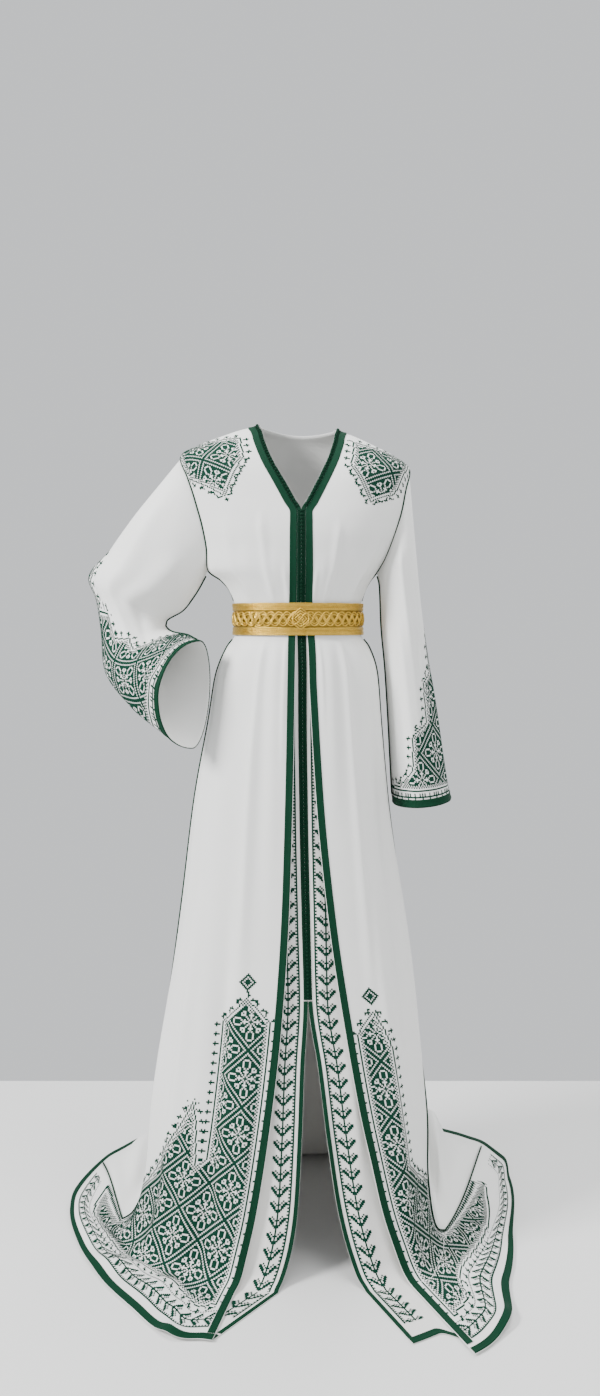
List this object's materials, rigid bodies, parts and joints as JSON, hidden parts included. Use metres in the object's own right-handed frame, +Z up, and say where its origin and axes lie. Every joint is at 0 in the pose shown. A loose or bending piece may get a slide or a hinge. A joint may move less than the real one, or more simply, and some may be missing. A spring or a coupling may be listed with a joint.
{
  "type": "moroccan kaftan garment with belt",
  "caption": "Worn floor-length kaftan: hollow ivory cloth with open fronts, inner skirt layer, wide sleeves, green braids, knotted buttons and a gold belt.",
  "frame": {"origin": "middle of the shoulders at the level of the neck's sides, where the wearer holds the garment", "axes": "+Z up, the front faces -Y, the wearer's left is +X"},
  "size_m": [0.9286, 0.8232, 1.593],
  "materials": {
    "ivory_crepe": "matt crepe",
    "ivory_satin": "soft satin sheen",
    "green_braid": "woven silk braid",
    "gold_cordwork": "metallic gold thread"
  },
  "bodies": {
    "root": {"front_right": "ivory_crepe", "front_left": "ivory_crepe", "back_bodice": "ivory_crepe", "back_skirt": "ivory_crepe", "sleeve_right": "ivory_crepe", "sleeve_left": "ivory_crepe", "inner_front_right": "ivory_satin", "inner_front_left": "ivory_satin", "inner_back": "ivory_satin", "edge_braid_right": "green_braid", "edge_braid_left": "green_braid", "neck_braid_back": "green_braid", "neck_loops_right": "green_braid", "neck_loops_left": "green_braid", "buttons_upper": "green_braid", "buttons_lower": "green_braid", "hem_braid_right": "green_braid", "hem_braid_left": "green_braid", "hem_braid_back": "green_braid", "slit_braid_right": "green_braid", "slit_braid_left": "green_braid", "inner_hem_braid_right": "green_braid", "inner_hem_braid_left": "green_braid", "cuff_braid_right": "green_braid", "cuff_braid_left": "green_braid", "armhole_piping_right": "green_braid", "armhole_piping_left": "green_braid", "sleeve_piping_right": "green_braid", "sleeve_piping_left": "green_braid", "bodice_piping_right": "green_braid", "bodice_piping_left": "green_braid", "side_piping_right": "green_braid", "side_piping_left": "green_braid", "belt": "gold_cordwork", "belt_knot": "gold_cordwork"}
  },
  "joints": []
}
